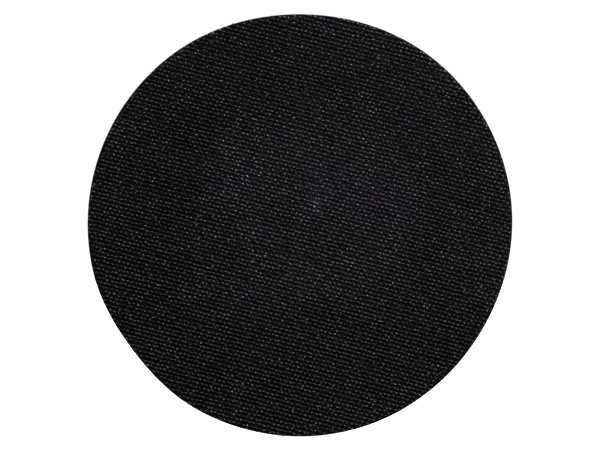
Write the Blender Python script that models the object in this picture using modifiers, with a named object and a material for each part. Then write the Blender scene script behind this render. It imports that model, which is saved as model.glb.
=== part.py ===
"""Backing pad of a random orbital sander: a 125 mm hook-and-loop pad on a 5/16-24 UNF drive stud.

The pad is modelled lying on its back with the hook face up, as turned pieces about local Z, with
local Z = 0 on the raised seat of its hub. One empty then stands it upright, so that the hook face
looks along -Y, the stud points along +Y, and +Z is up. Lengths are in metres.
"""

import math

import bmesh
import bpy

MM = 0.001

# Driving dimensions
PAD_RADIUS = 62.5 * MM
STUD_LENGTH = 12.7 * MM
STUD_RADIUS = 7.938 / 2 * MM
THREAD_PITCH = 25.4 / 24 * MM
SEAT_TO_HOOK_TIPS = 19.0 * MM
FACING_THICKNESS = 1.9 * MM
BOND_FILM_THICKNESS = 0.3 * MM
PLATE_RADIUS = 56.0 * MM
PLATE_THICKNESS = 2.6 * MM
PLATE_CHAMFER = 0.4 * MM
FLANGE_RADIUS = 25.0 * MM
FLANGE_SHEET = 1.6 * MM
CLAMP_THICKNESS = 1.5 * MM
RIVET_COUNT = 6
RIVET_CIRCLE_RADIUS = 18.0 * MM
RIVET_SHANK_RADIUS = 1.9 * MM
EDGE_ROUND = 0.6 * MM
GAP = 0.3 * MM

# The stack, from the seat at zero towards the hook face
FLANGE_Z = 2.6 * MM
FLANGE_INNER_Z = FLANGE_Z + FLANGE_SHEET
PLATE_Z = FLANGE_INNER_Z + GAP
PLATE_INNER_Z = PLATE_Z + PLATE_THICKNESS
CLAMP_Z = PLATE_INNER_Z + GAP
CLAMP_INNER_Z = CLAMP_Z + CLAMP_THICKNESS
FACING_Z = SEAT_TO_HOOK_TIPS - FACING_THICKNESS
BOND_FILM_Z = FACING_Z - GAP - BOND_FILM_THICKNESS
FOAM_FACE_Z = BOND_FILM_Z - GAP

# Hub, clamp plate and stud
BOSS_RADIUS = 8.6 * MM
BOSS_FOOT_RADIUS = 11.8 * MM
NECK_RADIUS = 5.0 * MM
NECK_HOLE_RADIUS = NECK_RADIUS + GAP
NECK_END_Z = GAP
CLAMP_RADIUS = 24.0 * MM
STUD_HEAD_RADIUS = 9.0 * MM
STUD_HEAD_HEIGHT = 2.0 * MM
STUD_HEAD_CHAMFER = 0.6 * MM
STUD_TIP_CHAMFER = 0.7 * MM
THREAD_DEPTH = 0.6134 * THREAD_PITCH
THREAD_RUNOUT = 0.4 * MM
THREAD_RINGS_PER_TURN = 4

# Pressed ribs that stiffen the hub flange between its rivets
RIB_HEIGHT = 0.8 * MM
RIB_HALF_WIDTH = 2.6 * MM
RIB_START_RADIUS = 12.5 * MM
RIB_END_RADIUS = 22.5 * MM
RIB_END_FADE = 2.5 * MM
RIB_MIDDLE_RADIUS = 19.0 * MM
RIB_RINGS = (RIB_START_RADIUS + RIB_END_FADE, RIB_MIDDLE_RADIUS, RIB_END_RADIUS)

# Rivets
RIVET_HEAD_RADIUS = 3.5 * MM
RIVET_HEAD_HEIGHT = 1.4 * MM
RIVET_TAIL_RADIUS = 3.0 * MM
RIVET_TAIL_HEIGHT = 1.0 * MM

# Foam cushion: its lip stands round the backing plate, and its side tapers out to the rim
FOAM_LIP_STEP = 0.5 * MM
FOAM_LIP_Z = PLATE_Z + FOAM_LIP_STEP
FOAM_LIP_WIDTH = 1.4 * MM
FOAM_RIM_Z = 11.6 * MM
FOAM_RIM_INSET = 0.3 * MM
CLAMP_POCKET_RADIUS = CLAMP_RADIUS + GAP
RIVET_TAIL_END_Z = CLAMP_INNER_Z + GAP + RIVET_TAIL_HEIGHT
STUD_HEAD_END_Z = CLAMP_INNER_Z + GAP + STUD_HEAD_HEIGHT
HEAD_POCKET_RADIUS = STUD_HEAD_RADIUS + GAP

# Spacer washer on the stud
WASHER_RADIUS = 8.0 * MM
WASHER_CLEARANCE = 0.25 * MM
WASHER_THICKNESS = 1.2 * MM
WASHER_CHAMFER = 0.2 * MM

# Facing and foam rim are trimmed together by hand, which leaves shallow flats, each given as its
# direction round the pad, how far it reaches to either side, and how deep it is
TRIM_FLATS = (
    (math.radians(88), math.radians(44), 0.80 * MM),
    (math.radians(217), math.radians(24), 0.85 * MM),
    (math.radians(327), math.radians(46), 0.50 * MM),
)
TRIM_BAND = 1.4 * MM

# Sides of the turned pieces, and the distance within which their points are merged
LARGE_STEPS = 72
SMALL_STEPS = 48
RIVET_STEPS = 16
THREAD_STEPS = 24
MERGE = 0.01 * MM


def clear_scene():
    """Empties the scene of the startup objects."""
    for obj in list(bpy.data.objects):
        bpy.data.objects.remove(obj, do_unlink=True)


def new_collection(name):
    collection = bpy.data.collections.new(name)
    bpy.context.scene.collection.children.link(collection)
    return collection


def new_material(name, colour, roughness, metallic=0.0):
    material = bpy.data.materials.new(name)
    material.use_nodes = True
    shader = material.node_tree.nodes["Principled BSDF"]
    shader.inputs["Base Color"].default_value = (*colour, 1.0)
    shader.inputs["Roughness"].default_value = roughness
    shader.inputs["Metallic"].default_value = metallic
    return material


def add_object(name, mesh, collection):
    obj = bpy.data.objects.new(name, mesh)
    collection.objects.link(obj)
    return obj


def turned(name, profile, steps, material):
    """Turns an outline of (radius, z) points about Z. It is a loop round a ring, or runs axis to axis."""
    mesh = bpy.data.meshes.new(name)
    on_axis = profile[0][0] == 0 and profile[-1][0] == 0
    edges = [(i, i + 1) for i in range(len(profile) - 1)]
    if not on_axis:
        edges.append((len(profile) - 1, 0))
    mesh.from_pydata([(radius, 0, z) for radius, z in profile], edges, [])
    mesh.materials.append(material)
    obj = add_object(name, mesh, PIECES)
    screw = obj.modifiers.new("turn", "SCREW")
    screw.steps = steps
    screw.render_steps = steps
    screw.use_merge_vertices = True
    screw.merge_threshold = MERGE
    screw.use_smooth_shade = True
    obj.parent = PAD_FRAME
    return obj


def apply_modifiers(obj):
    """Turns the object's evaluated shape into its mesh, so that its points can be moved by a rule."""
    graph = bpy.context.evaluated_depsgraph_get()
    shaped = bpy.data.meshes.new_from_object(obj.evaluated_get(graph))
    obj.modifiers.clear()
    obj.data = shaped
    shaped.shade_smooth()
    shaped.set_sharp_from_angle(angle=math.radians(30))


def drill(obj, centres, radius, steps):
    """Cuts a round hole through the object at each centre, all with one cutter."""
    mesh = bpy.data.meshes.new(f"{obj.name}_drill")
    cutter = bmesh.new()
    for x, y in centres:
        made = bmesh.ops.create_cone(
            cutter, cap_ends=True, segments=steps, radius1=radius, radius2=radius, depth=2 * PAD_RADIUS
        )
        bmesh.ops.translate(cutter, verts=made["verts"], vec=(x, y, 0))
    cutter.to_mesh(mesh)
    cutter.free()
    tool = add_object(mesh.name, mesh, CUTTERS)
    tool.hide_render = True
    tool.display_type = "WIRE"
    tool.parent = PAD_FRAME
    cut = obj.modifiers.new("drill", "BOOLEAN")
    cut.operation = "DIFFERENCE"
    cut.object = tool


def rounded(radius, z, height, outward, points=4):
    """A quarter-round dome from a rim at (radius, z) to the axis side, as (radius, z) points."""
    steps = [math.pi / 2 * i / points for i in range(points + 1)]
    return [(radius * math.cos(a), z + outward * height * math.sin(a)) for a in steps]


def trim_depth(angle):
    """How far the hand-trimmed outline lies inside the full circle at this angle round the pad."""
    depth = 0.0
    for centre, width, deepest in TRIM_FLATS:
        away = abs(math.remainder(angle - centre, math.tau)) / width
        if away < 1:
            depth += deepest * math.cos(away * math.pi / 2) ** 2
    return depth


def trim_edge(obj, full_radius, from_z):
    """Pulls the object's outer edge, from from_z towards the hook face, in to the trimmed outline."""
    for vertex in obj.data.vertices:
        radius = math.hypot(vertex.co.x, vertex.co.y)
        if vertex.co.z < from_z or radius < full_radius - TRIM_BAND:
            continue
        scale = 1 - trim_depth(math.atan2(vertex.co.y, vertex.co.x)) / radius
        vertex.co.x *= scale
        vertex.co.y *= scale


def disc(name, radius, low, high, steps, material, hole=0.0, chamfer=0.0):
    """A flat disc or, with a hole, a ring. Its outer edges are sharp, or chamfered."""
    outer = [(radius, high), (radius, low)]
    if chamfer:
        outer = [
            (radius - chamfer, high),
            (radius, high - chamfer),
            (radius, low + chamfer),
            (radius - chamfer, low),
        ]
    return turned(name, [(hole, high), *outer, (hole, low)], steps, material)


def hook_facing(material):
    """Woven nylon fabric, its hooks included: the face that holds the abrasive disc."""
    obj = disc("hook_facing", PAD_RADIUS, FACING_Z, SEAT_TO_HOOK_TIPS, LARGE_STEPS, material)
    apply_modifiers(obj)
    trim_edge(obj, PAD_RADIUS, FACING_Z - GAP)


def facing_bond_film(material):
    """Contact adhesive between the foam and the hook facing."""
    radius = PAD_RADIUS - FOAM_RIM_INSET
    low, high = BOND_FILM_Z, BOND_FILM_Z + BOND_FILM_THICKNESS
    obj = disc("facing_bond_film", radius, low, high, LARGE_STEPS, material)
    apply_modifiers(obj)
    trim_edge(obj, radius, low - GAP)


def foam_cushion(material):
    """Moulded polyurethane foam, with pockets for the hub's inner plate, rivet tails and stud head."""
    rim = PAD_RADIUS - FOAM_RIM_INSET
    lip = PLATE_RADIUS + GAP
    pocket_z = RIVET_TAIL_END_Z + GAP
    profile = [
        (0, FOAM_FACE_Z),
        (rim, FOAM_FACE_Z),
        (rim, FOAM_RIM_Z + EDGE_ROUND),
        (rim - EDGE_ROUND / 2, FOAM_RIM_Z),
        (lip + FOAM_LIP_WIDTH + EDGE_ROUND, FOAM_LIP_Z + EDGE_ROUND),
        (lip + FOAM_LIP_WIDTH, FOAM_LIP_Z),
        (lip, FOAM_LIP_Z),
        (lip, PLATE_INNER_Z + GAP),
        (CLAMP_POCKET_RADIUS, PLATE_INNER_Z + GAP),
        (CLAMP_POCKET_RADIUS, pocket_z),
        (HEAD_POCKET_RADIUS, pocket_z),
        (HEAD_POCKET_RADIUS, STUD_HEAD_END_Z + GAP),
        (0, STUD_HEAD_END_Z + GAP),
    ]
    obj = turned("foam_cushion", profile, LARGE_STEPS, material)
    apply_modifiers(obj)
    trim_edge(obj, rim, FOAM_RIM_Z - GAP)


def backing_plate(material):
    """Glass-fibre laminate disc that spreads the hub's load over the foam."""
    obj = disc(
        "backing_plate",
        PLATE_RADIUS,
        PLATE_Z,
        PLATE_INNER_Z,
        LARGE_STEPS,
        material,
        hole=NECK_HOLE_RADIUS,
        chamfer=PLATE_CHAMFER,
    )
    drill(obj, rivet_places(), RIVET_SHANK_RADIUS + GAP, RIVET_STEPS)


def rivet_places():
    angles = [math.tau * i / RIVET_COUNT for i in range(RIVET_COUNT)]
    return [(RIVET_CIRCLE_RADIUS * math.cos(a), RIVET_CIRCLE_RADIUS * math.sin(a)) for a in angles]


def rib_lift(x, y):
    """How far the pressed ribs stand out of the flange at this point."""
    radius = math.hypot(x, y)
    sector = math.tau / RIVET_COUNT
    from_rib = math.remainder(math.atan2(y, x) - sector / 2, sector)
    across = abs(radius * math.sin(from_rib)) / RIB_HALF_WIDTH
    if across >= 1 or not RIB_START_RADIUS < radius < RIB_END_RADIUS:
        return 0.0
    along = min(1.0, (RIB_END_RADIUS - radius) / RIB_END_FADE)
    return RIB_HEIGHT * along * math.cos(across * math.pi / 2) ** 2


def hub_flange(material):
    """Pressed steel flange: a raised boss for the spindle to bear on, and a ribbed rim for the rivets."""
    rim = FLANGE_RADIUS
    profile = [
        (NECK_HOLE_RADIUS, FLANGE_SHEET),
        (BOSS_RADIUS - FLANGE_SHEET / 2, FLANGE_SHEET),
        (BOSS_FOOT_RADIUS - FLANGE_SHEET / 2, FLANGE_INNER_Z),
        *[(radius, FLANGE_INNER_Z) for radius in RIB_RINGS],
        (rim, FLANGE_INNER_Z),
        (rim, FLANGE_Z + EDGE_ROUND),
        (rim - EDGE_ROUND, FLANGE_Z),
        *[(radius, FLANGE_Z) for radius in reversed(RIB_RINGS)],
        (BOSS_FOOT_RADIUS + EDGE_ROUND, FLANGE_Z),
        (BOSS_FOOT_RADIUS, FLANGE_Z - EDGE_ROUND / 2),
        (BOSS_RADIUS + EDGE_ROUND, EDGE_ROUND / 2),
        (BOSS_RADIUS, 0),
        (NECK_HOLE_RADIUS, 0),
    ]
    obj = turned("hub_flange", profile, LARGE_STEPS, material)
    apply_modifiers(obj)
    for vertex in obj.data.vertices:
        vertex.co.z -= rib_lift(vertex.co.x, vertex.co.y)
    drill(obj, rivet_places(), RIVET_SHANK_RADIUS + GAP, RIVET_STEPS)


def clamp_plate(material):
    """Steel ring inside the foam that the rivets and the stud's head pull against."""
    obj = disc(
        "clamp_plate", CLAMP_RADIUS, CLAMP_Z, CLAMP_INNER_Z, SMALL_STEPS, material, hole=NECK_HOLE_RADIUS
    )
    drill(obj, rivet_places(), RIVET_SHANK_RADIUS + GAP, RIVET_STEPS)


def thread_radius(angle, z):
    """Radius of the 60 degree right-hand thread, which fades into the plain shank at its inner end."""
    phase = (z / THREAD_PITCH - angle / math.tau) % 1.0
    below_crest = abs(2 * phase - 1)
    fade = min(1.0, max(0.0, (-z - THREAD_RUNOUT) / THREAD_PITCH))
    return STUD_RADIUS - THREAD_DEPTH * fade * below_crest


def drive_stud(material):
    """Headed steel stud. It passes through clamp plate, backing plate and flange, and is threaded outside."""
    thread_end = -STUD_LENGTH + STUD_TIP_CHAMFER
    rings = round(-thread_end / THREAD_PITCH * THREAD_RINGS_PER_TURN)
    thread = [(STUD_RADIUS, thread_end * i / rings) for i in range(rings + 1)]
    head_z = STUD_HEAD_END_Z - STUD_HEAD_HEIGHT
    profile = [
        (0, STUD_HEAD_END_Z),
        (STUD_HEAD_RADIUS - STUD_HEAD_CHAMFER, STUD_HEAD_END_Z),
        (STUD_HEAD_RADIUS, STUD_HEAD_END_Z - STUD_HEAD_CHAMFER),
        (STUD_HEAD_RADIUS, head_z),
        (NECK_RADIUS, head_z),
        (NECK_RADIUS, NECK_END_Z),
        (STUD_RADIUS, NECK_END_Z),
        *thread,
        (STUD_RADIUS - THREAD_DEPTH, -STUD_LENGTH),
        (0, -STUD_LENGTH),
    ]
    obj = turned("drive_stud", profile, THREAD_STEPS, material)
    apply_modifiers(obj)
    for vertex in obj.data.vertices:
        if thread_end - GAP < vertex.co.z <= 0:
            angle = math.atan2(vertex.co.y, vertex.co.x)
            radius = thread_radius(angle, vertex.co.z)
            vertex.co.x = radius * math.cos(angle)
            vertex.co.y = radius * math.sin(angle)


def rivet(name, place, material):
    """Steel rivet: domed head on the flange, shank, and a clenched tail under the clamp plate."""
    head_z = FLANGE_Z - GAP
    tail_z = CLAMP_INNER_Z + GAP
    tail = rounded(RIVET_TAIL_RADIUS, tail_z, RIVET_TAIL_HEIGHT, 1)
    head = rounded(RIVET_HEAD_RADIUS, head_z, RIVET_HEAD_HEIGHT, -1)
    profile = [
        (0, tail_z + RIVET_TAIL_HEIGHT),
        *reversed(tail[:-1]),
        (RIVET_SHANK_RADIUS, tail_z),
        (RIVET_SHANK_RADIUS, head_z),
        *head[:-1],
        (0, head_z - RIVET_HEAD_HEIGHT),
    ]
    obj = turned(name, profile, RIVET_STEPS, material)
    obj.location = (*place, 0)


def spacer_washer(material):
    """Loose nylon washer on the stud that sets the pad's height under the sander's skirt."""
    disc(
        "spacer_washer",
        WASHER_RADIUS,
        -GAP - WASHER_THICKNESS,
        -GAP,
        SMALL_STEPS,
        material,
        hole=STUD_RADIUS + WASHER_CLEARANCE,
        chamfer=WASHER_CHAMFER,
    )


def build_pad():
    nylon = new_material("black_nylon_fabric", (0.012, 0.012, 0.013), 0.55)
    adhesive = new_material("adhesive", (0.08, 0.07, 0.05), 0.4)
    foam = new_material("black_foam", (0.015, 0.015, 0.016), 0.8)
    laminate = new_material("glass_laminate", (0.05, 0.055, 0.05), 0.45)
    zinc = new_material("zinc_plated_steel", (0.62, 0.63, 0.64), 0.3, metallic=1.0)
    steel = new_material("rivet_steel", (0.55, 0.56, 0.58), 0.35, metallic=1.0)
    washer_nylon = new_material("washer_nylon", (0.75, 0.74, 0.68), 0.5)
    hook_facing(nylon)
    facing_bond_film(adhesive)
    foam_cushion(foam)
    backing_plate(laminate)
    hub_flange(zinc)
    clamp_plate(zinc)
    drive_stud(zinc)
    for number, place in enumerate(rivet_places(), start=1):
        rivet(f"rivet_{number}", place, steel)
    spacer_washer(washer_nylon)


clear_scene()
PIECES = new_collection("sander_backing_pad")
CUTTERS = new_collection("cutters")
PAD_FRAME = bpy.data.objects.new("pad_frame", None)
PIECES.objects.link(PAD_FRAME)
PAD_FRAME.rotation_euler.x = math.radians(90)
build_pad()
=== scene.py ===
"""Looks of an orbital sander's backing pad: hook face, foam cushion, laminate plate and riveted hub.

The hook face looks along -Y and the drive stud points along +Y. Everything is in metres, in the
frame's own axes.
"""

import math

import bpy
import numpy as np
from mathutils import Matrix, Vector


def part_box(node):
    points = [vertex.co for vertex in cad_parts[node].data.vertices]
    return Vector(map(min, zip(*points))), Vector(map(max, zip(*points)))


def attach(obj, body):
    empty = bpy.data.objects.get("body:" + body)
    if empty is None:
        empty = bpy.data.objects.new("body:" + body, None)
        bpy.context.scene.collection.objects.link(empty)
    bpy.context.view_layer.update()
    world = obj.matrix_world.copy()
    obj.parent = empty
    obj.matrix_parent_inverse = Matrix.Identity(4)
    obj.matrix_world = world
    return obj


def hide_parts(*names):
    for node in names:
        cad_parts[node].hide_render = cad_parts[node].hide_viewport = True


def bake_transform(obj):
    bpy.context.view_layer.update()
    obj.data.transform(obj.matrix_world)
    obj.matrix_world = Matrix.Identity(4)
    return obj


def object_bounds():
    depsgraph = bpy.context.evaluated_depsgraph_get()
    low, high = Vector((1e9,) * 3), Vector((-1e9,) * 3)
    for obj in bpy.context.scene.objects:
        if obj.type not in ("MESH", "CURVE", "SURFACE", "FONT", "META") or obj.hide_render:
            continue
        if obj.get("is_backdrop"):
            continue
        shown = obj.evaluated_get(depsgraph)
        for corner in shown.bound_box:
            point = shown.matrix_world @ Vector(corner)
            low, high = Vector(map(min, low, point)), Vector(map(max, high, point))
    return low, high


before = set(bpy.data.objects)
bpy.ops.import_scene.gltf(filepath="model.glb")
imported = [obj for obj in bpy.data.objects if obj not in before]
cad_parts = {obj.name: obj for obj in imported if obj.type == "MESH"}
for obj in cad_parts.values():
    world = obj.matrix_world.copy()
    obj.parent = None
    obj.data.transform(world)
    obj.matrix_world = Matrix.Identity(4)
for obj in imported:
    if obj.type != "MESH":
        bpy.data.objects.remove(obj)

CAD_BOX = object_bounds()
MM = 0.001
# An edge where the surface turns by more than this is sharp
SHARP_ANGLE = math.radians(35)
# How many straight steps round a corner
FILLET_STEPS = 4
# How many crossed waves make up a smooth random number
WAVES = 6
# Where each hook stands, leans and turns
DRAWS = np.random.default_rng(125)

# Places read from the frame
FACING_LOW, FACING_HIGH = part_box("hook_facing")
FOAM_LOW, FOAM_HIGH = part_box("foam_cushion")
PLATE_LOW, PLATE_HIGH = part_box("backing_plate")
FLANGE_LOW, FLANGE_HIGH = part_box("hub_flange")
STUD_LOW, STUD_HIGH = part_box("drive_stud")
WASHER_LOW, WASHER_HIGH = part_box("spacer_washer")
HOOK_TIP_Y = FACING_LOW.y
CLOTH_BACK_Y = FACING_HIGH.y
FILM_BACK_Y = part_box("facing_bond_film")[1].y
RIM_RADIUS = (FACING_HIGH.x - FACING_LOW.x) / 2
# The trimmed flats of the outline are shallower than this
DEEPEST_TRIM = 1.5 * MM

# Woven hook cloth
CLOTH_THICKNESS = 0.5 * MM
CLOTH_FRONT_Y = CLOTH_BACK_Y - CLOTH_THICKNESS
ROW_SLANT = math.radians(14.6)
ROW_PITCH = 1.20 * MM
HOOK_PITCH = 1.335 * MM
ROW_STAGGER = -0.274 * HOOK_PITCH
ROW_DIRECTION = np.array([math.cos(ROW_SLANT), 0.0, -math.sin(ROW_SLANT)])
DOWN_THE_ROWS = np.array([-math.sin(ROW_SLANT), 0.0, -math.cos(ROW_SLANT)])
OUT_OF_FACE = np.array([0.0, -1.0, 0.0])
RIB_HALF_WIDTH = 0.27 * MM
RIB_HALF_HEIGHT = 0.48 * MM
RIB_BELOW_HOOKS = 0.14 * MM
RIB_BEAD = 0.28
# How a rib's thickness wanders: the length of the waves, their share of the thickness and their seed
RIB_WANDERS = ((3 * MM, 0.10, 11), (0.9 * MM, 0.14, 12))
RIB_SIDES = 6
RIB_RINGS_PER_HOOK = 4
WEFT_RADIUS = 0.20 * MM
WEFT_SIDES = 5
WEFT_OVER, WEFT_UNDER = 0.10 * MM, -0.04 * MM
WEFT_STRAY_SIZE, WEFT_STRAY, WEFT_FIRST_SEED = 2 * MM, 0.05 * MM, 500
HOOK_WIRE_RADIUS = 0.13 * MM
HOOK_SIDES = 6
HOOK_ROOT_DEPTH = 0.10 * MM
HOOK_ARC_RADIUS = 0.20 * MM
HOOK_ARC_STEPS = 6
HOOK_ARC_SWEEP = math.pi + 0.45
HOOK_SIZE, HOOK_SIZE_SPREAD, SMALLEST_HOOK = 0.95, 0.05, 0.75
HOOK_TURN, HOOK_TURN_SPREAD = math.radians(16), math.radians(13)
HOOK_LEAN_SPREAD = 0.12
HOOK_STRAY_ALONG = 0.18 * MM
HOOK_STRAY_DOWN = 0.10 * MM
# The rows' drift across the face: the length of its waves, its depth and its seed. The long waves
# are drawn out along the rows.
LONG_DRIFTS = ((22 * MM, 0.12 * MM, 3), (7 * MM, 0.05 * MM, 4))
SHORT_DRIFT = (2 * MM, 0.03 * MM, 5)
DRAWN_OUT = 0.8
# Neighbouring yarns, ribs or hooks are joined into this many pieces each
WEFT_GROUPS = 2
RIB_GROUPS = 4
HOOK_GROUPS = 8
# Painted highlights, the hooks coloured lighter as if lit: the place on the face, the radii where the
# lightening begins to thin and where it ends, and how much lighter it makes the hooks
PAINTED_HIGHLIGHTS = (
    ((1.0 * MM, 2.0 * MM), 22 * MM, 40 * MM, 1.6),
    ((4.9 * MM, 6.4 * MM), 0.6 * MM, 3.4 * MM, 2.2),
)
# Nylon: the size of its clouds with their least and most shade, the least and most shade of its
# grain, and the size of its patches with their two tints
NYLON_CLOUDS = ((12 * MM, 0.82, 1.20), (2.6 * MM, 0.80, 1.24))
NYLON_GRAIN_SHADE = (0.05, 2.3)
NYLON_TINT_SIZE = 17 * MM
GREENISH = (0.93, 1.06, 0.98)
VIOLET = (1.08, 0.93, 1.02)
# About one hook or yarn in 700 is worn bright
BRIGHT_FROM = 0.9985
BRIGHTER_BY = 3.0
# How far the hooks and yarns stay inside the cloth's trimmed edge
EDGE_MARGIN = 0.20 * MM

# Flat discs: the cloth itself, and the film behind it
DISC_STEPS = 288
DISC_EDGE_ROUND = 0.08 * MM
FILM_INSET = 0.22 * MM
FILM_CLEARANCE = 0.03 * MM

# Foam cushion: where its taper meets the rim, where the skin is cut away, and its hidden pockets
FOAM_RIM_Y = -11.6 * MM
FOAM_CUT_Y = FOAM_LOW.y + 2.6 * MM
HEAD_POCKET_RADIUS = 9.3 * MM
HEAD_POCKET_Y = -13.7 * MM
CLAMP_POCKET_RADIUS = 24.3 * MM
CLAMP_POCKET_Y = -11.7 * MM
FOAM_RIM_INSET = 0.3 * MM
FOAM_LIP_WIDTH = 1.7 * MM
FOAM_LIP_GAP = 0.12 * MM
FOAM_PROUD = 0.25 * MM
FOAM_LONGEST_STEP = 1.2 * MM
FOAM_WAVE_SIZE, FOAM_WAVE, FOAM_WAVE_SEED = 11 * MM, 0.05 * MM, 21
FOAM_CELL = 0.45 * MM
FOAM_CUT_WAVE = 0.25 * MM
FOAM_CUT_FADE = 0.15 * MM
# The foam's pores are placed by its shape at rest, so they squash with it
REST_PLACE = "rest_place"

# Hub, rivets and stud
RIVET_COUNT = 6
RIVET_SHANK_RADIUS = 1.9 * MM
RIVET_HOLE_RADIUS = 2.1 * MM
RIVET_TAIL_RADIUS = 3.0 * MM
RIVET_TAIL_HEIGHT = 1.0 * MM
RIVET_SEAT_GAP = 0.03 * MM
FLANGE_SHEET = 1.6 * MM
FLANGE_RINGS = 44
FLANGE_STEPS = 180
FLANGE_DEPTH = -FLANGE_LOW.y - FLANGE_SHEET
FLANGE_RIB_HEIGHT = 0.8 * MM
FLANGE_RIB_HALF_WIDTH = 2.6 * MM
FLANGE_RIB_START, FLANGE_RIB_START_FADE = 12.0 * MM, 2.0 * MM
FLANGE_RIB_END, FLANGE_RIB_END_FADE = 23.0 * MM, 2.2 * MM
BOSS_RADIUS = 8.6 * MM
BOSS_FOOT_RADIUS = 12.2 * MM
HUB_HOLE_RADIUS = 5.25 * MM
NECK_RADIUS = 5.0 * MM
NECK_END_Y = -0.3 * MM
STUD_RADIUS = 7.938 / 2 * MM
STUD_HEAD_HEIGHT = 2.0 * MM
THREAD_PITCH = 25.4 / 24 * MM
THREAD_DEPTH = 0.6134 * THREAD_PITCH
THREAD_RINGS_PER_TURN = 14
# The thread's flat crest and its flank as shares of half the pitch, the rounding of its root as a
# share of its depth, and how far inside the stud's full radius its crest lies
THREAD_CREST = 0.14
THREAD_FLANK = 0.66
THREAD_ROOT_ROUND = 0.06
THREAD_CREST_DROP = 0.05 * MM
THREAD_START_Y = 0.5 * MM
# The cone at the stud's tip starts this many thread depths below the full radius
TIP_CONE_DEPTH = 1.15

# Laminate plate
LAMINATE_YARN = 1.3 * MM
LAMINATE_DRIFT = 1.2 * MM
LAMINATE_STRAND = 0.09 * MM

# Washer
WASHER_CLEARANCE = 0.25 * MM
WASHER_INNER_ROUND = 0.12 * MM
WASHER_OUTER_ROUND = 0.25 * MM
TURNING_MARK = 0.20944 * MM

# The camera sees this width at the front of the cloth, square on
FRAME_WIDTH = 176.4 * MM
CAMERA_LENS = 100
CAMERA_NEAR = 10 * MM
CAMERA_X, CAMERA_Z = -0.03 * MM, -0.3 * MM
# How bright the world is as a light, and as a background
WORLD_LIGHT, WORLD_SEEN = 0.07, 1.05
FLOOR_REACH = 6.0
FLOOR_GAP = 0.2 * MM
# Each lamp's name, place, width and height, and power in watts
LAMPS = (
    ("key", (0.12, -0.55, 0.85), (0.35, 0.15), 16.5),
    ("side", (0.34, -0.24, 0.02), (0.2, 0.2), 1.8),
    ("front", (0.02, -0.56, 0.04), (0.08, 0.08), 0.6),
    ("back_key", (0.45, 0.75, 0.75), (0.9, 0.5), 22),
    ("back_fill", (-0.75, 0.75, 0.15), (0.5, 0.9), 9),
)


def new_object(name, data, body=None):
    """Puts a mesh, light or camera in the scene, riding on a CAD body if one is named."""
    piece = bpy.data.objects.new(name, data)
    bpy.context.scene.collection.objects.link(piece)
    if body:
        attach(piece, body)
    return piece


def mesh_from(name, points, face_groups):
    """A smooth mesh from an array of points and arrays of faces, each array holding faces of one size."""
    mesh = bpy.data.meshes.new(name)
    corners = np.concatenate([faces.reshape(-1) for faces in face_groups]).astype(np.int32)
    sizes = np.concatenate([np.full(len(faces), faces.shape[1]) for faces in face_groups])
    starts = np.concatenate([[0], np.cumsum(sizes)[:-1]]).astype(np.int32)
    mesh.vertices.add(len(points))
    mesh.vertices.foreach_set("co", np.asarray(points, np.float32).reshape(-1))
    mesh.loops.add(len(corners))
    mesh.loops.foreach_set("vertex_index", corners)
    mesh.polygons.add(len(starts))
    mesh.polygons.foreach_set("loop_start", starts)
    mesh.update(calc_edges=True)
    mesh.shade_smooth()
    return mesh


def swept(paths, across, half_width, half_height, sides):
    """Points and faces of closed tubes along paths, an array of (tube, ring, xyz)."""
    count, rings = paths.shape[:2]
    along = np.gradient(paths, axis=1)
    along /= np.linalg.norm(along, axis=2, keepdims=True)
    up = np.cross(along, np.broadcast_to(across, along.shape))
    turn = (np.arange(sides) * math.tau / sides)[:, None]
    wide = (across * half_width)[:, :, None] * np.cos(turn)
    high = (up * half_height)[:, :, None] * np.sin(turn)
    points = (paths[:, :, None] + wide + high).reshape(-1, 3)
    index = np.arange(len(points)).reshape(count, rings, sides)
    after = np.roll(index, -1, axis=2)
    walls = np.stack([index[:, :-1], after[:, :-1], after[:, 1:], index[:, 1:]], axis=-1).reshape(-1, 4)
    caps = np.concatenate([index[:, 0, ::-1], index[:, -1]])
    return points, walls, caps


def joined(parts):
    """One set of points and faces from several."""
    points, walls, caps, before = [], [], [], 0
    for part_points, part_walls, part_caps in parts:
        points.append(part_points)
        walls.append(part_walls + before)
        caps.append(part_caps + before)
        before += len(part_points)
    return np.concatenate(points), np.concatenate(walls), np.concatenate(caps)


def points_of(mesh):
    """The mesh's points as an array of (x, y, z)."""
    points = np.empty(len(mesh.vertices) * 3, np.float32)
    mesh.vertices.foreach_get("co", points)
    return points.reshape(-1, 3).astype(float)


def put_points(mesh, points):
    """Moves the mesh's points to the places in the array."""
    mesh.vertices.foreach_set("co", points.astype(np.float32).reshape(-1))
    mesh.update()


def round_the_axis(points):
    """Each point's radius and angle about the stud's axis."""
    return np.hypot(points[:, 0], points[:, 2]), np.arctan2(points[:, 2], points[:, 0])


def rim_outline(node):
    """The node's trimmed outline, as a function from angles to radii."""
    radius, angle = round_the_axis(points_of(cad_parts[node].data))
    outer = radius > radius.max() - DEEPEST_TRIM
    order = np.argsort(angle[outer])
    angles, radii = angle[outer][order], radius[outer][order]
    return lambda at: np.interp(at, angles, radii, period=math.tau)


RIM = rim_outline("hook_facing")
FOAM_RIM = rim_outline("foam_cushion")


def inside_rim(points, margin):
    """Whether each point lies this far or more inside the trimmed outline."""
    angle = np.arctan2(points[..., 2], points[..., 0])
    return np.hypot(points[..., 0], points[..., 2]) < RIM(angle) - margin


def wander(points, size, seed):
    """A smooth random number, about -1 to 1, at each point of the face, from a few crossed waves."""
    draws = np.random.default_rng(seed)
    x, z = points[..., 0], points[..., 2]
    total = np.zeros(x.shape)
    for _ in range(WAVES):
        direction = draws.uniform(0, math.tau)
        wave = math.tau / (size * draws.uniform(0.7, 1.5))
        phase = draws.uniform(0, math.tau)
        total += np.sin(wave * (x * math.cos(direction) + z * math.sin(direction)) + phase)
    return total / (WAVES / 2)


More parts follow.
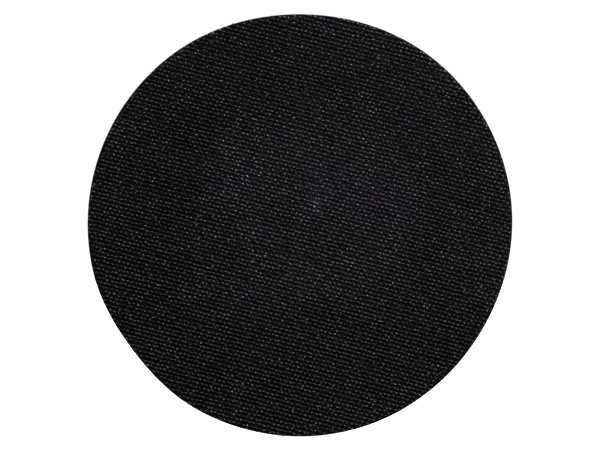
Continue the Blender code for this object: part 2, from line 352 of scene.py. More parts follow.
def on_face(along, down, height):
    """Points of the face from distances along and down the rows, and heights over the cloth."""
    flat = along[..., None] * ROW_DIRECTION + down[..., None] * DOWN_THE_ROWS
    drawn_out = flat - along[..., None] * ROW_DIRECTION * DRAWN_OUT
    drift = sum(wander(drawn_out, size, seed) * depth for size, depth, seed in LONG_DRIFTS)
    size, depth, seed = SHORT_DRIFT
    drift = drift + wander(flat, size, seed) * depth
    flat = flat + drift[..., None] * DOWN_THE_ROWS
    flat[..., 1] = CLOTH_FRONT_Y - height
    return flat


def weave_rows():
    """For each row of the weave: its number, and the places of its hooks along it."""
    last = int(RIM_RADIUS / ROW_PITCH) + 1
    for row in range(-last, last + 1):
        down = row * ROW_PITCH
        reach = math.sqrt(max(0.0, RIM_RADIUS**2 - down**2))
        first = math.ceil((-reach - row * ROW_STAGGER) / HOOK_PITCH)
        final = math.floor((reach - row * ROW_STAGGER) / HOOK_PITCH)
        along = np.arange(first, final + 1) * HOOK_PITCH + row * ROW_STAGGER
        if len(along) > 1:
            yield row, along


def rib(row, along):
    """One beaded rib of the woven ground, thicker at each hook's root."""
    steps = np.arange((len(along) - 1) * RIB_RINGS_PER_HOOK + 1) / RIB_RINGS_PER_HOOK
    places = along[0] + steps * HOOK_PITCH
    bead = 1 + RIB_BEAD * np.cos(steps * math.tau)
    down = np.full(len(places), row * ROW_PITCH + RIB_BELOW_HOOKS)
    path = on_face(places, down, np.zeros(len(places)))
    kept = inside_rim(path, EDGE_MARGIN)
    if kept.sum() < 3:
        return None
    path, bead = path[kept], bead[kept]
    uneven = 1 + sum(share * wander(path, size, seed) for size, share, seed in RIB_WANDERS)
    swell = (bead * uneven)[None, :, None]
    return swept(path[None], DOWN_THE_ROWS, RIB_HALF_WIDTH * swell, RIB_HALF_HEIGHT * swell, RIB_SIDES)


def weft_yarns():
    """The yarns that run down the face, over the cloth and under the ribs, and show between the rows."""
    last = int(RIM_RADIUS / HOOK_PITCH) + 1
    for line in range(-last, last + 1):
        down = np.arange(-RIM_RADIUS, RIM_RADIUS, ROW_PITCH / 2)
        seed = WEFT_FIRST_SEED + line
        stray = wander(down[:, None] * DOWN_THE_ROWS, WEFT_STRAY_SIZE, seed) * WEFT_STRAY
        along = line * HOOK_PITCH + down / ROW_PITCH * ROW_STAGGER + stray
        height = np.where(np.arange(len(down)) % 2, WEFT_OVER, WEFT_UNDER)
        path = on_face(along, down + ROW_PITCH / 2 + RIB_BELOW_HOOKS, height)
        path = path[inside_rim(path, EDGE_MARGIN)]
        if len(path) > 2:
            yield swept(path[None], ROW_DIRECTION[None, None], WEFT_RADIUS, WEFT_RADIUS, WEFT_SIDES)


def hook_shape():
    """A hook's centreline as (along, height) points: a stem that rises into an arc and turns down."""
    reach = HOOK_ARC_RADIUS
    arc_height = CLOTH_FRONT_Y - HOOK_TIP_Y - HOOK_WIRE_RADIUS - reach
    root = (-0.85 * reach, -HOOK_ROOT_DEPTH)
    mid_stem = (-0.98 * reach, arc_height * 0.55)
    turns = [math.pi - HOOK_ARC_SWEEP * i / HOOK_ARC_STEPS for i in range(HOOK_ARC_STEPS + 1)]
    arc = [(reach * math.cos(turn), arc_height + reach * math.sin(turn)) for turn in turns]
    return np.array([root, mid_stem, *arc])


def row_hooks(row, along):
    """The hooks of one row. Pairs of rows face opposite ways, and each hook leans and turns a little."""
    along = along + DRAWS.normal(0, HOOK_STRAY_ALONG, len(along))
    down = row * ROW_PITCH + DRAWS.normal(0, HOOK_STRAY_DOWN, len(along))
    root = on_face(along, down, np.zeros(len(along)))
    # Two rows face one way, and the next two the other
    facing = 1 if row % 4 < 2 else -1
    reach_out = HOOK_ARC_RADIUS * ROW_DIRECTION
    keep = inside_rim(root + reach_out, EDGE_MARGIN) & inside_rim(root - reach_out, EDGE_MARGIN)
    root = root[keep]
    count = len(root)
    if count == 0:
        return None
    turn = DRAWS.normal(HOOK_TURN, HOOK_TURN_SPREAD, count)
    size = DRAWS.normal(HOOK_SIZE, HOOK_SIZE_SPREAD, count).clip(SMALLEST_HOOK, 1.0)
    lean = DRAWS.normal(0, HOOK_LEAN_SPREAD, count)
    direction = facing * (np.cos(turn)[:, None] * ROW_DIRECTION + np.sin(turn)[:, None] * DOWN_THE_ROWS)
    across = np.cross(direction, OUT_OF_FACE)
    shape = hook_shape()
    reach = shape[None, :, 0, None] * size[:, None, None] * direction[:, None]
    height = shape[None, :, 1, None] * size[:, None, None]
    sideways = height * lean[:, None, None] * across[:, None]
    paths = root[:, None] + reach + height * OUT_OF_FACE + sideways
    return swept(paths, across[:, None], HOOK_WIRE_RADIUS, HOOK_WIRE_RADIUS, HOOK_SIDES)


def yarn_pieces(name, parts, groups, made):
    """The tubes as a number of pieces on the cloth, each piece holding neighbouring ones."""
    parts = [part for part in parts if part is not None]
    for number in range(groups):
        group = parts[len(parts) * number // groups : len(parts) * (number + 1) // groups]
        points, walls, caps = joined(group)
        piece = new_object(f"{name}_{number + 1}", mesh_from(name, points, [walls, caps]), "facing")
        give(piece, made)
        yield piece


def disc_mesh(name, inset, back_y, front_y):
    """A closed flat disc between two planes across Y, this far inside the trimmed outline."""
    angles = np.arange(DISC_STEPS) * math.tau / DISC_STEPS
    radii = RIM(angles) - inset
    outline = np.stack([radii * np.cos(angles), radii * np.sin(angles)], axis=-1)
    front_scale = 1 - DISC_EDGE_ROUND / RIM_RADIUS
    rings = [(1.0, back_y), (1.0, front_y + DISC_EDGE_ROUND), (front_scale, front_y)]
    points = [(scale * x, y, scale * z) for scale, y in rings for x, z in outline]
    index = np.arange(len(points)).reshape(len(rings), DISC_STEPS)
    after = np.roll(index, -1, axis=1)
    walls = np.stack([index[:-1], after[:-1], after[1:], index[1:]], axis=-1).reshape(-1, 4)
    caps = np.stack([index[0, ::-1], index[-1]])
    return finished(mesh_from(name, np.array(points), [walls, caps]))


def turned_mesh(name, profile, steps):
    """A solid turned about Y from (radius, y) points: a closed loop, or a line from axis to axis."""
    on_axis = profile[0][0] == 0 and profile[-1][0] == 0
    ring_profile = profile[1:-1] if on_axis else profile
    angles = np.arange(steps) * math.tau / steps
    points = [(r * math.cos(a), y, r * math.sin(a)) for r, y in ring_profile for a in angles]
    index = np.arange(len(points)).reshape(len(ring_profile), steps)
    after = np.roll(index, -1, axis=1)
    bands = np.stack([index, after, np.roll(after, -1, axis=0), np.roll(index, -1, axis=0)], axis=-1)
    faces = [(bands[:-1] if on_axis else bands).reshape(-1, 4)]
    if on_axis:
        points += [(0, profile[0][1], 0), (0, profile[-1][1], 0)]
        start, end = np.full(steps, len(points) - 2), np.full(steps, len(points) - 1)
        faces.append(np.stack([start, after[0], index[0]], axis=-1))
        faces.append(np.stack([end, index[-1], after[-1]], axis=-1))
    return mesh_from(name, np.array(points), faces)


def finished(mesh, sharp=SHARP_ANGLE):
    """The mesh with its edges sharp where it turns by more than this angle."""
    mesh.set_sharp_from_angle(angle=sharp)
    return mesh


# Materials

def add(tree, kind, inputs=None, **settings):
    """Adds a shader node. An input is a value, or another node's socket to link from."""
    node = tree.nodes.new(kind)
    for name, value in settings.items():
        setattr(node, name, value)
    for name, value in (inputs or {}).items():
        if isinstance(value, bpy.types.NodeSocket):
            tree.links.new(value, node.inputs[name])
        else:
            node.inputs[name].default_value = value
    return node


def principled(name, colour, roughness, metallic=0.0, specular=0.5):
    """A new material, its node tree and its shader."""
    made = bpy.data.materials.new(name)
    made.use_nodes = True
    shader = made.node_tree.nodes["Principled BSDF"]
    shader.inputs["Base Color"].default_value = (*colour, 1)
    shader.inputs["Roughness"].default_value = roughness
    shader.inputs["Metallic"].default_value = metallic
    shader.inputs["Specular IOR Level"].default_value = specular
    return made, made.node_tree, shader


def vector_maths(tree, how, first, second=(0, 0, 0)):
    """A node that works on two vectors. Each is a vector or a socket."""
    return add(tree, "ShaderNodeVectorMath", {0: first, 1: second}, operation=how)


def blended(tree, factor, first, second):
    """Two numbers mixed. Each is a number or a socket."""
    return add(tree, "ShaderNodeMix", {"Factor": factor, "A": first, "B": second}).outputs["Result"]


def link(tree, socket, shader, name):
    """Feeds the shader's named input from a socket."""
    tree.links.new(socket, shader.inputs[name])


def place_on(tree, stretch=(1, 1, 1)):
    """The surface's own place in metres, stretched along the axes."""
    where = add(tree, "ShaderNodeTexCoord").outputs["Object"]
    return add(tree, "ShaderNodeMapping", {"Vector": where, "Scale": stretch}).outputs["Vector"]


def noise(tree, where, size, detail=3.0, rough=0.5):
    """Noise whose grains are about this many metres across, from 0 to 1."""
    inputs = {"Vector": where, "Scale": 1 / size, "Detail": detail, "Roughness": rough}
    return add(tree, "ShaderNodeTexNoise", inputs).outputs["Fac"]


def spread_over(tree, value, low, high, from_low=0.3, from_high=0.7):
    """A value mapped from one range on to another."""
    inputs = {"Value": value, "From Min": from_low, "From Max": from_high, "To Min": low, "To Max": high}
    return add(tree, "ShaderNodeMapRange", inputs).outputs["Result"]


def mixed(tree, factor, first, second, how="MIX"):
    """Two colours mixed. Each is a colour or a socket."""
    node = add(tree, "ShaderNodeMix", data_type="RGBA", blend_type=how)
    for socket, value in zip([node.inputs[i] for i in (0, 6, 7)], (factor, first, second)):
        if isinstance(value, bpy.types.NodeSocket):
            tree.links.new(value, socket)
        elif isinstance(value, tuple):
            socket.default_value = (*value, 1)
        else:
            socket.default_value = value
    return node.outputs[2]


def maths(tree, how, first, second=0.0):
    """A result from two numbers. Each is a number or a socket."""
    node = add(tree, "ShaderNodeMath", operation=how)
    for socket, value in zip(node.inputs, (first, second)):
        if isinstance(value, bpy.types.NodeSocket):
            tree.links.new(value, socket)
        else:
            socket.default_value = value
    return node.outputs["Value"]


def bumped(tree, shader, height, depth):
    """Gives the shader a bump of this depth in metres, from a height of 0 to 1."""
    bump = add(tree, "ShaderNodeBump", {"Height": height, "Distance": depth, "Strength": 1.0})
    link(tree, bump.outputs["Normal"], shader, "Normal")


def nylon_material(name, colour, roughness, specular, spread, grain, depth=0.02 * MM):
    """Black nylon: each yarn or hook its own shade, in faint patches from greenish to violet."""
    made, tree, shader = principled(name, colour, roughness, specular=specular)
    where = place_on(tree)
    each = add(tree, "ShaderNodeNewGeometry").outputs["Random Per Island"]
    shade = spread_over(tree, each, 1 - spread, 1 + spread, 0, 1)
    for size, least, most in (*NYLON_CLOUDS, (grain, *NYLON_GRAIN_SHADE)):
        clouds = spread_over(tree, noise(tree, where, size, detail=2), least, most)
        shade = maths(tree, "MULTIPLY", shade, clouds)
    # Painted highlights: the nylon is coloured lighter round each of these places
    for (x, z), thins, ends, lift in PAINTED_HIGHLIGHTS:
        offset = vector_maths(tree, "SUBTRACT", where, (x, 0, z)).outputs["Vector"]
        flat = vector_maths(tree, "MULTIPLY", offset, (1, 0, 1)).outputs["Vector"]
        away = vector_maths(tree, "LENGTH", flat).outputs["Value"]
        shade = maths(tree, "MULTIPLY", shade, spread_over(tree, away, lift, 1.0, thins, ends))
    worn_bright = maths(tree, "GREATER_THAN", each, BRIGHT_FROM)
    shade = maths(tree, "ADD", shade, maths(tree, "MULTIPLY", worn_bright, BRIGHTER_BY))
    greenish, violet = (tuple(np.multiply(colour, tint).tolist()) for tint in (GREENISH, VIOLET))
    patches = spread_over(tree, noise(tree, where, NYLON_TINT_SIZE, detail=1), 0, 1)
    tint = mixed(tree, patches, greenish, violet)
    link(tree, mixed(tree, 1.0, tint, shade, "MULTIPLY"), shader, "Base Color")
    fine = noise(tree, where, 0.12 * MM, detail=2)
    link(tree, spread_over(tree, fine, roughness - 0.08, roughness + 0.10), shader, "Roughness")
    bumped(tree, shader, fine, depth)
    return made


def foam_material():
    """Moulded foam with a pebbled skin. Near the facing the skin is cut away, and its open cells have
    painted shade in their hollows.
    """
    made, tree, shader = principled("foam_skin", (0.020, 0.0195, 0.021), 0.7, specular=0.25)
    where = add(tree, "ShaderNodeAttribute", attribute_name=REST_PLACE).outputs["Vector"]
    pebbles = noise(tree, where, 0.55 * MM, detail=4, rough=0.6)
    voronoi = {"Vector": where, "Scale": 1 / FOAM_CELL}
    cells = add(tree, "ShaderNodeTexVoronoi", voronoi).outputs["Distance"]
    across = add(tree, "ShaderNodeSeparateXYZ", {"Vector": where}).outputs["Y"]
    uneven = spread_over(tree, noise(tree, where, 6 * MM), -FOAM_CUT_WAVE, FOAM_CUT_WAVE)
    wavy = maths(tree, "ADD", across, uneven)
    is_cut = spread_over(tree, wavy, 1.0, 0.0, FOAM_CUT_Y - FOAM_CUT_FADE, FOAM_CUT_Y + FOAM_CUT_FADE)
    open_cells = spread_over(tree, cells, 0.0, 1.0, 0.15, 0.6)
    skin = mixed(tree, spread_over(tree, pebbles, 0, 1), (0.016, 0.0155, 0.017), (0.027, 0.0265, 0.028))
    # Painted shade: the open cells are coloured near black in their hollows and lighter on their walls
    cut = mixed(tree, open_cells, (0.006, 0.006, 0.0065), (0.036, 0.035, 0.037))
    dust = spread_over(tree, noise(tree, where, 14 * MM, detail=5), 0.0, 0.35, 0.55, 0.8)
    dusted = mixed(tree, dust, mixed(tree, is_cut, skin, cut), (0.05, 0.049, 0.048))
    link(tree, dusted, shader, "Base Color")
    link(tree, spread_over(tree, is_cut, 0.62, 0.95, 0, 1), shader, "Roughness")
    bumped(tree, shader, blended(tree, is_cut, pebbles, open_cells), 0.12 * MM)
    return made


def film_material():
    """Adhesive film, seen only as a thin edge: dark, a little glossy and uneven."""
    made, tree, shader = principled("adhesive", (0.016, 0.0145, 0.013), 0.6, specular=0.3)
    grain = noise(tree, place_on(tree), 1.5 * MM, detail=4)
    shade = mixed(tree, spread_over(tree, grain, 0, 1), (0.010, 0.009, 0.008), (0.026, 0.024, 0.021))
    link(tree, shade, shader, "Base Color")
    link(tree, spread_over(tree, grain, 0.5, 0.75), shader, "Roughness")
    bumped(tree, shader, grain, 0.06 * MM)
    return made


def laminate_material():
    """Black glass-fibre laminate: plain-woven cloth, each yarn over and under the next, in resin."""
    made, tree, shader = principled("glass_laminate", (0.03, 0.032, 0.03), 0.35, specular=0.5)
    where = place_on(tree)
    wide_noise = {"Vector": where, "Scale": 1 / (20 * MM), "Detail": 1.0}
    drift = add(tree, "ShaderNodeTexNoise", wide_noise).outputs["Color"]
    pull = vector_maths(tree, "MULTIPLY", drift, (LAMINATE_DRIFT,) * 3).outputs["Vector"]
    pulled = vector_maths(tree, "ADD", where, pull).outputs["Vector"]
    axes = add(tree, "ShaderNodeSeparateXYZ", {"Vector": pulled})
    yarns = math.pi / LAMINATE_YARN
    across = maths(tree, "SINE", maths(tree, "MULTIPLY", axes.outputs["X"], yarns))
    down = maths(tree, "SINE", maths(tree, "MULTIPLY", axes.outputs["Z"], yarns))
    over = spread_over(tree, maths(tree, "MULTIPLY", across, down), 0, 1, -0.25, 0.25)
    warp = maths(tree, "ABSOLUTE", across)
    weft = maths(tree, "ABSOLUTE", down)
    height = blended(tree, over, warp, weft)
    warp_strands = noise(tree, place_on(tree, (1, 1, 0.06)), LAMINATE_STRAND, detail=2)
    weft_strands = noise(tree, place_on(tree, (0.06, 1, 1)), LAMINATE_STRAND, detail=2)
    strands = blended(tree, over, warp_strands, weft_strands)
    cloth = mixed(tree, over, (0.013, 0.014, 0.0135), (0.025, 0.027, 0.025))
    lit = mixed(tree, spread_over(tree, strands, 0, 1), cloth, (0.036, 0.039, 0.035))
    # Painted shade: the weave is coloured near black where its height is low, in the hollows between
    # yarns
    painted_hollow_shade = mixed(tree, spread_over(tree, height, 0, 1, 0.15, 0.6), (0.005, 0.0055, 0.0055), lit)
    clouds = spread_over(tree, noise(tree, where, 16 * MM, detail=3), 0.75, 1.3)
    link(tree, mixed(tree, 1.0, painted_hollow_shade, clouds, "MULTIPLY"), shader, "Base Color")
    scuffs = spread_over(tree, noise(tree, where, 7 * MM, detail=6, rough=0.7), 0.26, 0.50)
    link(tree, scuffs, shader, "Roughness")
    total = maths(tree, "ADD", height, maths(tree, "MULTIPLY", strands, 0.15))
    bumped(tree, shader, total, 0.03 * MM)
    return made


def steel_material(name, colour, tint, roughness, depth, grain=(1, 1, 1)):
    """Plated steel: cloudy plating with a faint tint, and fine scratches, stretched along its grain."""
    made, tree, shader = principled(name, colour, roughness, metallic=1.0)
    where = place_on(tree)
    clouds = noise(tree, where, 5 * MM, detail=4, rough=0.6)
    plated = mixed(tree, spread_over(tree, clouds, 0, 1), colour, tint)
    scratches = noise(tree, place_on(tree, grain), 0.22 * MM, detail=4, rough=0.7)
    dull = mixed(tree, spread_over(tree, scratches, 0, 0.35, 0.5, 0.75), plated, (0.26, 0.255, 0.25))
    link(tree, dull, shader, "Base Color")
    cloudy = spread_over(tree, clouds, roughness - 0.06, roughness + 0.10)
    worn = maths(tree, "ADD", cloudy, maths(tree, "MULTIPLY", scratches, 0.12))
    link(tree, worn, shader, "Roughness")
    bumped(tree, shader, scratches, depth)
    return made


def washer_material():
    """Natural nylon: off-white, slightly waxy, with faint turning marks."""
    made, tree, shader = principled("washer_nylon", (0.72, 0.69, 0.60), 0.45, specular=0.4)
    shader.inputs["Subsurface Weight"].default_value = 0.15
    shader.inputs["Subsurface Radius"].default_value = (0.8 * MM, 0.7 * MM, 0.5 * MM)
    grime = spread_over(tree, noise(tree, place_on(tree), 3 * MM, detail=4), 0, 1, 0.45, 0.8)
    link(tree, mixed(tree, grime, (0.74, 0.71, 0.62), (0.55, 0.50, 0.41)), shader, "Base Color")
    radius = vector_maths(tree, "LENGTH", place_on(tree, (1, 0, 1))).outputs["Value"]
    marks = maths(tree, "SINE", maths(tree, "MULTIPLY", radius, math.tau / TURNING_MARK))
    bumped(tree, shader, marks, 0.004 * MM)
    return made


def give(piece, made):
    """Gives the piece its one material."""
    piece.data.materials.clear()
    piece.data.materials.append(made)


# Pieces

def build_hook_face():
    """The hook fabric: base cloth, weft yarns, beaded ribs and single hooks."""
    cloth_nylon = nylon_material(
        "cloth_nylon", (0.0036, 0.0034, 0.0045), roughness=0.8, specular=0.02, spread=0.0, grain=0.5 * MM
    )
    yarn = {"roughness": 0.7, "specular": 0.06, "spread": 0.1, "grain": 0.36 * MM}
    weft_nylon = nylon_material("weft_nylon", (0.0034, 0.0032, 0.0042), **yarn)
    rib_nylon = nylon_material("rib_nylon", (0.0044, 0.0042, 0.0053), **yarn)
    hook_nylon = nylon_material(
        "hook_nylon",
        (0.0281, 0.0271, 0.0288),
        roughness=0.20,
        specular=0.95,
        spread=0.60,
        grain=0.6 * MM,
        depth=0.01 * MM,
    )
    cloth = new_object("hook_cloth", disc_mesh("hook_cloth", 0, CLOTH_BACK_Y, CLOTH_FRONT_Y), "facing")
    give(cloth, cloth_nylon)
    rows = list(weave_rows())
    on_cloth = [
        *yarn_pieces("weft_yarns", weft_yarns(), WEFT_GROUPS, weft_nylon),
        *yarn_pieces("cloth_ribs", [rib(*row) for row in rows], RIB_GROUPS, rib_nylon),
        *yarn_pieces("hooks", [row_hooks(*row) for row in rows], HOOK_GROUPS, hook_nylon),
    ]
    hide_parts("hook_facing")


def filleted(points):
    """A turned outline from (radius, y, rounding) points, each corner rounded by its own amount."""
    outline = []
    for i, (radius, y, rounding) in enumerate(points):
        corner = np.array([radius, y])
        if rounding == 0:
            outline.append(tuple(corner))
            continue
        before = np.array(points[i - 1][:2])
        after = np.array(points[(i + 1) % len(points)][:2])
        # The rounding takes less than half of either side
        start = corner + (before - corner) * min(0.49, rounding / np.linalg.norm(before - corner))
        end = corner + (after - corner) * min(0.49, rounding / np.linalg.norm(after - corner))
        for t in np.linspace(0, 1, FILLET_STEPS + 1):
            outline.append(tuple((1 - t) ** 2 * start + 2 * t * (1 - t) * corner + t**2 * end))
    return outline


def divided(outline, longest):
    """The open outline with its long stretches cut into steps no longer than this."""
    points = [outline[0]]
    for (r0, y0), (r1, y1) in zip(outline, outline[1:]):
        steps = max(1, math.ceil(math.hypot(r1 - r0, y1 - y0) / longest))
        points += [(r0 + (r1 - r0) * i / steps, y0 + (y1 - y0) * i / steps) for i in range(1, steps + 1)]
    return points


def foam_outline(rim, lip):
    """From the stud head's pocket, out over the lip, round the rim and in along the face."""
    face = FOAM_LOW.y - FOAM_PROUD
    back = PLATE_LOW.y - FOAM_PROUD / 2
    return [
        (0, HEAD_POCKET_Y, 0),
        (HEAD_POCKET_RADIUS, HEAD_POCKET_Y, 0.4 * MM),
        (HEAD_POCKET_RADIUS, CLAMP_POCKET_Y, 0),
        (CLAMP_POCKET_RADIUS, CLAMP_POCKET_Y, 0.4 * MM),
        (CLAMP_POCKET_RADIUS, back, 0),
        (lip, back, 0),
        (lip, FOAM_HIGH.y, 0.35 * MM),
        (lip + FOAM_LIP_WIDTH, FOAM_HIGH.y, 0.9 * MM),
        (rim - 0.9 * MM, FOAM_RIM_Y + 0.9 * MM, 0.8 * MM),
        (rim + 0.15 * MM, FOAM_RIM_Y - 0.9 * MM, 1.0 * MM),
        (rim + 0.1 * MM, FOAM_CUT_Y, 0),
        (rim, face, 0.12 * MM),
        (0, face, 0),
    ]


def build_foam():
    """The cushion: a side that tapers from the cut rim to the lip, and hidden pockets."""
    rim = RIM_RADIUS - FOAM_RIM_INSET
    lip = (PLATE_HIGH.x - PLATE_LOW.x) / 2 + FOAM_LIP_GAP
    outline = divided(filleted(foam_outline(rim, lip)), FOAM_LONGEST_STEP)
    mesh = turned_mesh("cushion_foam", outline, steps=240)
    points = points_of(mesh)
    radius, angle = round_the_axis(points)
    outward = np.clip((radius - lip - FOAM_LIP_WIDTH) / (rim - lip - FOAM_LIP_WIDTH), 0, 1)
    trimmed = 1 - outward * (1 - FOAM_RIM(angle) / FOAM_RIM(angle).max())
    uneven = wander(points, FOAM_WAVE_SIZE, FOAM_WAVE_SEED) * FOAM_WAVE / RIM_RADIUS
    scale = trimmed * (1 + np.where(radius > lip + 0.5 * MM, uneven, 0))
    points[:, [0, 2]] *= scale[:, None]
    put_points(mesh, points)
    rest = mesh.attributes.new(REST_PLACE, "FLOAT_VECTOR", "POINT")
    rest.data.foreach_set("vector", points.astype(np.float32).reshape(-1))
    foam = new_object("cushion_foam", finished(mesh))
    give(foam, foam_material())
    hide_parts("foam_cushion")
    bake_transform(foam)


def build_film():
    """The adhesive fills the gaps between foam and cloth, and shows as a thin dark line at the rim."""
    back, front = FILM_BACK_Y + FILM_CLEARANCE, CLOTH_BACK_Y + FILM_CLEARANCE
    film = new_object("bond_film", disc_mesh("bond_film", FILM_INSET, back, front), "facing")
    give(film, film_material())
    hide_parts("facing_bond_film")


def thread_radius(angle, y):
    """Radius of a right-hand thread with flat crests, a runout at the shoulder and a cone at the tip."""
    phase = (-y / THREAD_PITCH - angle / math.tau) % 1.0
    from_crest = np.abs(2 * phase - 1)
    depth = np.clip((from_crest - THREAD_CREST) / THREAD_FLANK, 0, 1)
    depth = depth - THREAD_ROOT_ROUND * np.sin(depth * math.pi) ** 2
    runout = np.clip((y - THREAD_START_Y) / THREAD_PITCH, 0, 1)
    radius = STUD_RADIUS - THREAD_CREST_DROP - THREAD_DEPTH * depth * runout
    from_tip = STUD_HIGH.y - y
    return np.minimum(radius, STUD_RADIUS - THREAD_DEPTH * TIP_CONE_DEPTH + from_tip)


def build_stud():
    """Drive stud: head inside the foam, neck through the plates, and a threaded end."""
    head_radius = (STUD_HIGH.x - STUD_LOW.x) / 2
    head_y = STUD_LOW.y
    head_under_y = head_y + STUD_HEAD_HEIGHT
    tip = STUD_HIGH.y
    steps = math.ceil(tip / THREAD_PITCH * THREAD_RINGS_PER_TURN)
    thread = [(STUD_RADIUS, tip - tip * i / steps) for i in range(steps)]
    # From the centre mark in the tip, down the thread and the neck, to the chamfered head
    profile = [
        (0, tip - 0.35 * MM),
        (0.9 * MM, tip - 0.05 * MM),
        (1.1 * MM, tip),
        *thread,
        (STUD_RADIUS, NECK_END_Y),
        (NECK_RADIUS, NECK_END_Y),
        (NECK_RADIUS, head_under_y),
        (head_radius - 0.2 * MM, head_under_y),
        (head_radius, head_under_y - 0.2 * MM),
        (head_radius, head_y + 0.5 * MM),
        (head_radius - 0.5 * MM, head_y),
        (0, head_y),
    ]
    mesh = turned_mesh("threaded_stud", profile, steps=72)
    points = points_of(mesh)
    radius, angle = round_the_axis(points)
    outside_centre_mark = radius > 2 * MM
    threaded = outside_centre_mark & (points[:, 1] > 0.01 * MM)
    cut = thread_radius(angle[threaded], points[threaded, 1])
    points[np.ix_(threaded, [0, 2])] *= (cut / radius[threaded])[:, None]
    put_points(mesh, points)
    stud = new_object("threaded_stud", finished(mesh, math.radians(50)), "pad")
    steel = steel_material(
        "stud_steel",
        (0.50, 0.50, 0.51),
        tint=(0.56, 0.54, 0.50),
        roughness=0.30,
        depth=0.006 * MM,
        grain=(1, 0.05, 1),
    )
    give(stud, steel)
    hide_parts("drive_stud")


def rivet_places():
    """The rivets' centres, in the order of their nodes."""
    for number in range(1, RIVET_COUNT + 1):
        low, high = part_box(f"rivet_{number}")
        yield (low.x + high.x) / 2, (low.z + high.z) / 2


def apply_modifiers(piece):
    """Makes the piece's evaluated shape its mesh."""
    graph = bpy.context.evaluated_depsgraph_get()
    shaped = bpy.data.meshes.new_from_object(piece.evaluated_get(graph))
    piece.modifiers.clear()
    piece.data = shaped


def flange_height(radius, angle):
    """How far the flange's outer face lies below the seat: a boss, a curved foot and pressed ribs."""
    foot = np.clip((radius - BOSS_RADIUS) / (BOSS_FOOT_RADIUS - BOSS_RADIUS), 0, 1)
    sunk = FLANGE_DEPTH * foot**2 * (3 - 2 * foot)
    sector = math.tau / RIVET_COUNT
    from_rib = angle % sector - sector / 2
    across = np.clip(np.abs(radius * np.sin(from_rib)) / FLANGE_RIB_HALF_WIDTH, 0, 1)
    inner = np.clip((radius - FLANGE_RIB_START) / FLANGE_RIB_START_FADE, 0, 1)
    outer = np.clip((FLANGE_RIB_END - radius) / FLANGE_RIB_END_FADE, 0, 1)
    along = np.sin(inner * math.pi / 2) ** 2 * np.sin(outer * math.pi / 2) ** 2
    return sunk - FLANGE_RIB_HEIGHT * along * np.cos(across * math.pi / 2) ** 2


def drill_rivet_holes(piece):
    """Cuts a round hole for each rivet through the piece."""
    outline = [(0, 1 * MM), (RIVET_HOLE_RADIUS, 1 * MM), (RIVET_HOLE_RADIUS, -8 * MM), (0, -8 * MM)]
    for x, z in rivet_places():
        hole = turned_mesh("hole", outline, steps=32)
        hole.transform(Matrix.Translation((x, 0, z)))
        cutter = new_object("rivet_hole", hole)
        cut = piece.modifiers.new("hole", "BOOLEAN")
        cut.operation = "DIFFERENCE"
        cut.object = cutter
        apply_modifiers(piece)
        bpy.data.objects.remove(cutter)


def build_flange():
    """Pressed hub flange with six rivet holes, its ribs pressed through both faces."""
    rim = (FLANGE_HIGH.x - FLANGE_LOW.x) / 2
    radii = np.linspace(HUB_HOLE_RADIUS, rim - 0.35 * MM, FLANGE_RINGS)
    # Each point of the outline has a radius and a share of the sheet's thickness
    edge = [(rim - 0.1 * MM, 0.12), (rim, 0.35), (rim, 0.75), (rim - 0.12 * MM, 1.0)]
    outline = np.array([(r, 0.0) for r in radii] + edge + [(r, 1.0) for r in radii[::-1]])
    # Half a step round, so that no line of the grid runs through a rivet's centre
    angles = (np.arange(FLANGE_STEPS) + 0.5) * math.tau / FLANGE_STEPS
    radius, angle = np.meshgrid(outline[:, 0], angles, indexing="ij")
    through = outline[:, 1:]
    y = -flange_height(radius, angle) - through * FLANGE_SHEET
    points = np.stack([radius * np.cos(angle), y, radius * np.sin(angle)], axis=-1).reshape(-1, 3)
    index = np.arange(len(points)).reshape(radius.shape)
    after = np.roll(index, -1, axis=1)
    corners = [index, after, np.roll(after, -1, axis=0), np.roll(index, -1, axis=0)]
    walls = np.stack(corners, axis=-1).reshape(-1, 4)
    flange = new_object("pressed_flange", mesh_from("pressed_flange", points, [walls]), "pad")
    drill_rivet_holes(flange)
    finished(flange.data)
    zinc = steel_material(
        "zinc_plating", (0.60, 0.61, 0.63), tint=(0.60, 0.57, 0.49), roughness=0.27, depth=0.010 * MM
    )
    give(flange, zinc)
    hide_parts("hub_flange")


def build_rivets():
    """Six rivets: a domed head with a rolled edge outside, a shank, and a clenched tail inside."""
    steel = steel_material(
        "rivet_steel", (0.55, 0.56, 0.58), tint=(0.60, 0.57, 0.52), roughness=0.30, depth=0.012 * MM
    )
    for number, (x, z) in enumerate(rivet_places(), start=1):
        low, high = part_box(f"rivet_{number}")
        head_radius = (high.x - low.x) / 2
        seat = -FLANGE_DEPTH + RIVET_SEAT_GAP
        rise = high.y - seat
        tail_seat = low.y + RIVET_TAIL_HEIGHT
        slopes = np.linspace(math.pi / 2, 0, 12)[1:-1]
        dome = [(head_radius * math.cos(a), seat + rise * math.sin(a) ** 0.85) for a in slopes]
        # From the top of the dome, down the shank, to the end of the tail
        profile = [
            (0, high.y),
            *dome,
            (head_radius, seat + 0.12 * MM),
            (head_radius - 0.05 * MM, seat),
            (RIVET_SHANK_RADIUS, seat),
            (RIVET_SHANK_RADIUS, tail_seat),
            (RIVET_TAIL_RADIUS, tail_seat),
            (RIVET_TAIL_RADIUS, tail_seat - 0.4 * MM),
            (RIVET_TAIL_RADIUS - 0.6 * MM, low.y + 0.15 * MM),
            (RIVET_TAIL_RADIUS - 1.4 * MM, low.y),
            (0, low.y),
        ]
        mesh = turned_mesh(f"rivet_{number}_shape", profile, steps=40)
        mesh.transform(Matrix.Translation((x, 0, z)))
        piece = new_object(f"domed_rivet_{number}", finished(mesh), "pad")
        give(piece, steel)
        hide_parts(f"rivet_{number}")


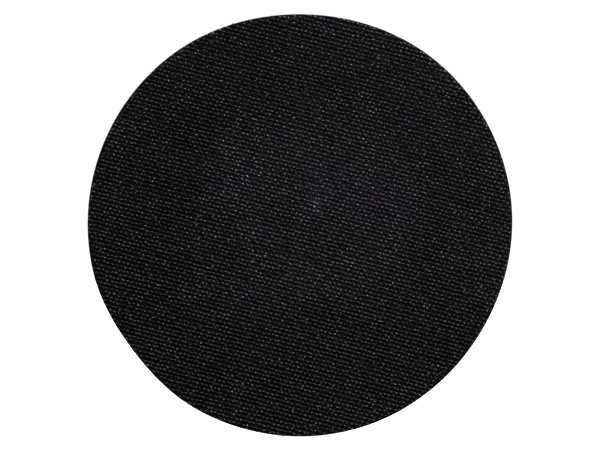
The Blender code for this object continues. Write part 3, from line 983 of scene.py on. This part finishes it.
def build_washer():
    """The loose nylon spacer, a turned ring with rounded edges."""
    outer = (WASHER_HIGH.x - WASHER_LOW.x) / 2
    inner = STUD_RADIUS + WASHER_CLEARANCE
    outline = [
        (inner, WASHER_HIGH.y, WASHER_INNER_ROUND),
        (outer, WASHER_HIGH.y, WASHER_OUTER_ROUND),
        (outer, WASHER_LOW.y, WASHER_OUTER_ROUND),
        (inner, WASHER_LOW.y, WASHER_INNER_ROUND),
    ]
    mesh = turned_mesh("nylon_washer", filleted(outline), steps=96)
    washer = new_object("nylon_washer", finished(mesh), "spacer")
    give(washer, washer_material())
    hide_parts("spacer_washer")


def finish_cad_nodes():
    """The laminate plate and the hidden clamp plate keep their own shapes."""
    give(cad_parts["backing_plate"], laminate_material())
    give(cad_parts["clamp_plate"], bpy.data.materials["zinc_plating"])


# Stage

def build_world():
    """White behind the object, but only a little even light from all round."""
    world = bpy.data.worlds.new("studio")
    bpy.context.scene.world = world
    world.use_nodes = True
    tree = world.node_tree
    background = tree.nodes["Background"]
    background.inputs["Color"].default_value = (1, 1, 1, 1)
    seen = add(tree, "ShaderNodeLightPath").outputs["Is Camera Ray"]
    strength = spread_over(tree, seen, WORLD_LIGHT, WORLD_SEEN, 0, 1)
    tree.links.new(strength, background.inputs["Strength"])


def area_light(name, place, size, power):
    """A rectangular lamp that shines at the origin."""
    data = bpy.data.lights.new(name, "AREA")
    data.shape = "RECTANGLE"
    data.size, data.size_y = size
    data.energy = power
    lamp = new_object(name, data)
    lamp.location = place
    lamp.rotation_euler = (-Vector(place)).to_track_quat("-Z", "Y").to_euler()
    lamp.visible_camera = False


def build_floor():
    """A floor as white as the background, just under the object."""
    z = FACING_LOW.z - FLOOR_GAP
    corners = [(x * FLOOR_REACH, y * FLOOR_REACH, z) for x, y in ((-1, -1), (1, -1), (1, 1), (-1, 1))]
    mesh = bpy.data.meshes.new("floor")
    mesh.from_pydata(corners, [], [(0, 1, 2, 3)])
    floor = new_object("floor", mesh)
    made, _, shader = principled("pale_floor", (0.86, 0.86, 0.86), 0.8, specular=0.1)
    shader.inputs["Emission Color"].default_value = (1, 1, 1, 1)
    shader.inputs["Emission Strength"].default_value = 1
    mesh.materials.append(made)
    floor.visible_diffuse = False
    floor.visible_glossy = False
    floor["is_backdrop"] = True


def build_camera():
    """Square on to the hook face."""
    data = bpy.data.cameras.new("camera")
    data.lens = CAMERA_LENS
    data.clip_start = CAMERA_NEAR
    camera = new_object("camera", data)
    bpy.context.scene.camera = camera
    away = FRAME_WIDTH * CAMERA_LENS / data.sensor_width
    camera.location = (CAMERA_X, CLOTH_FRONT_Y - away, CAMERA_Z)
    camera.rotation_euler = (math.radians(90), 0, 0)


def build_stage():
    """World, lamps, floor and camera."""
    bpy.context.scene.view_settings.view_transform = "Standard"
    build_world()
    for lamp in LAMPS:
        area_light(*lamp)
    build_floor()
    build_camera()


build_hook_face()
build_film()
build_foam()
build_flange()
build_stud()
build_rivets()
build_washer()
finish_cad_nodes()
build_stage()

boxes = {"cad": CAD_BOX, "visual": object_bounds()}
{name: [list(corner) for corner in box] for name, box in boxes.items()}
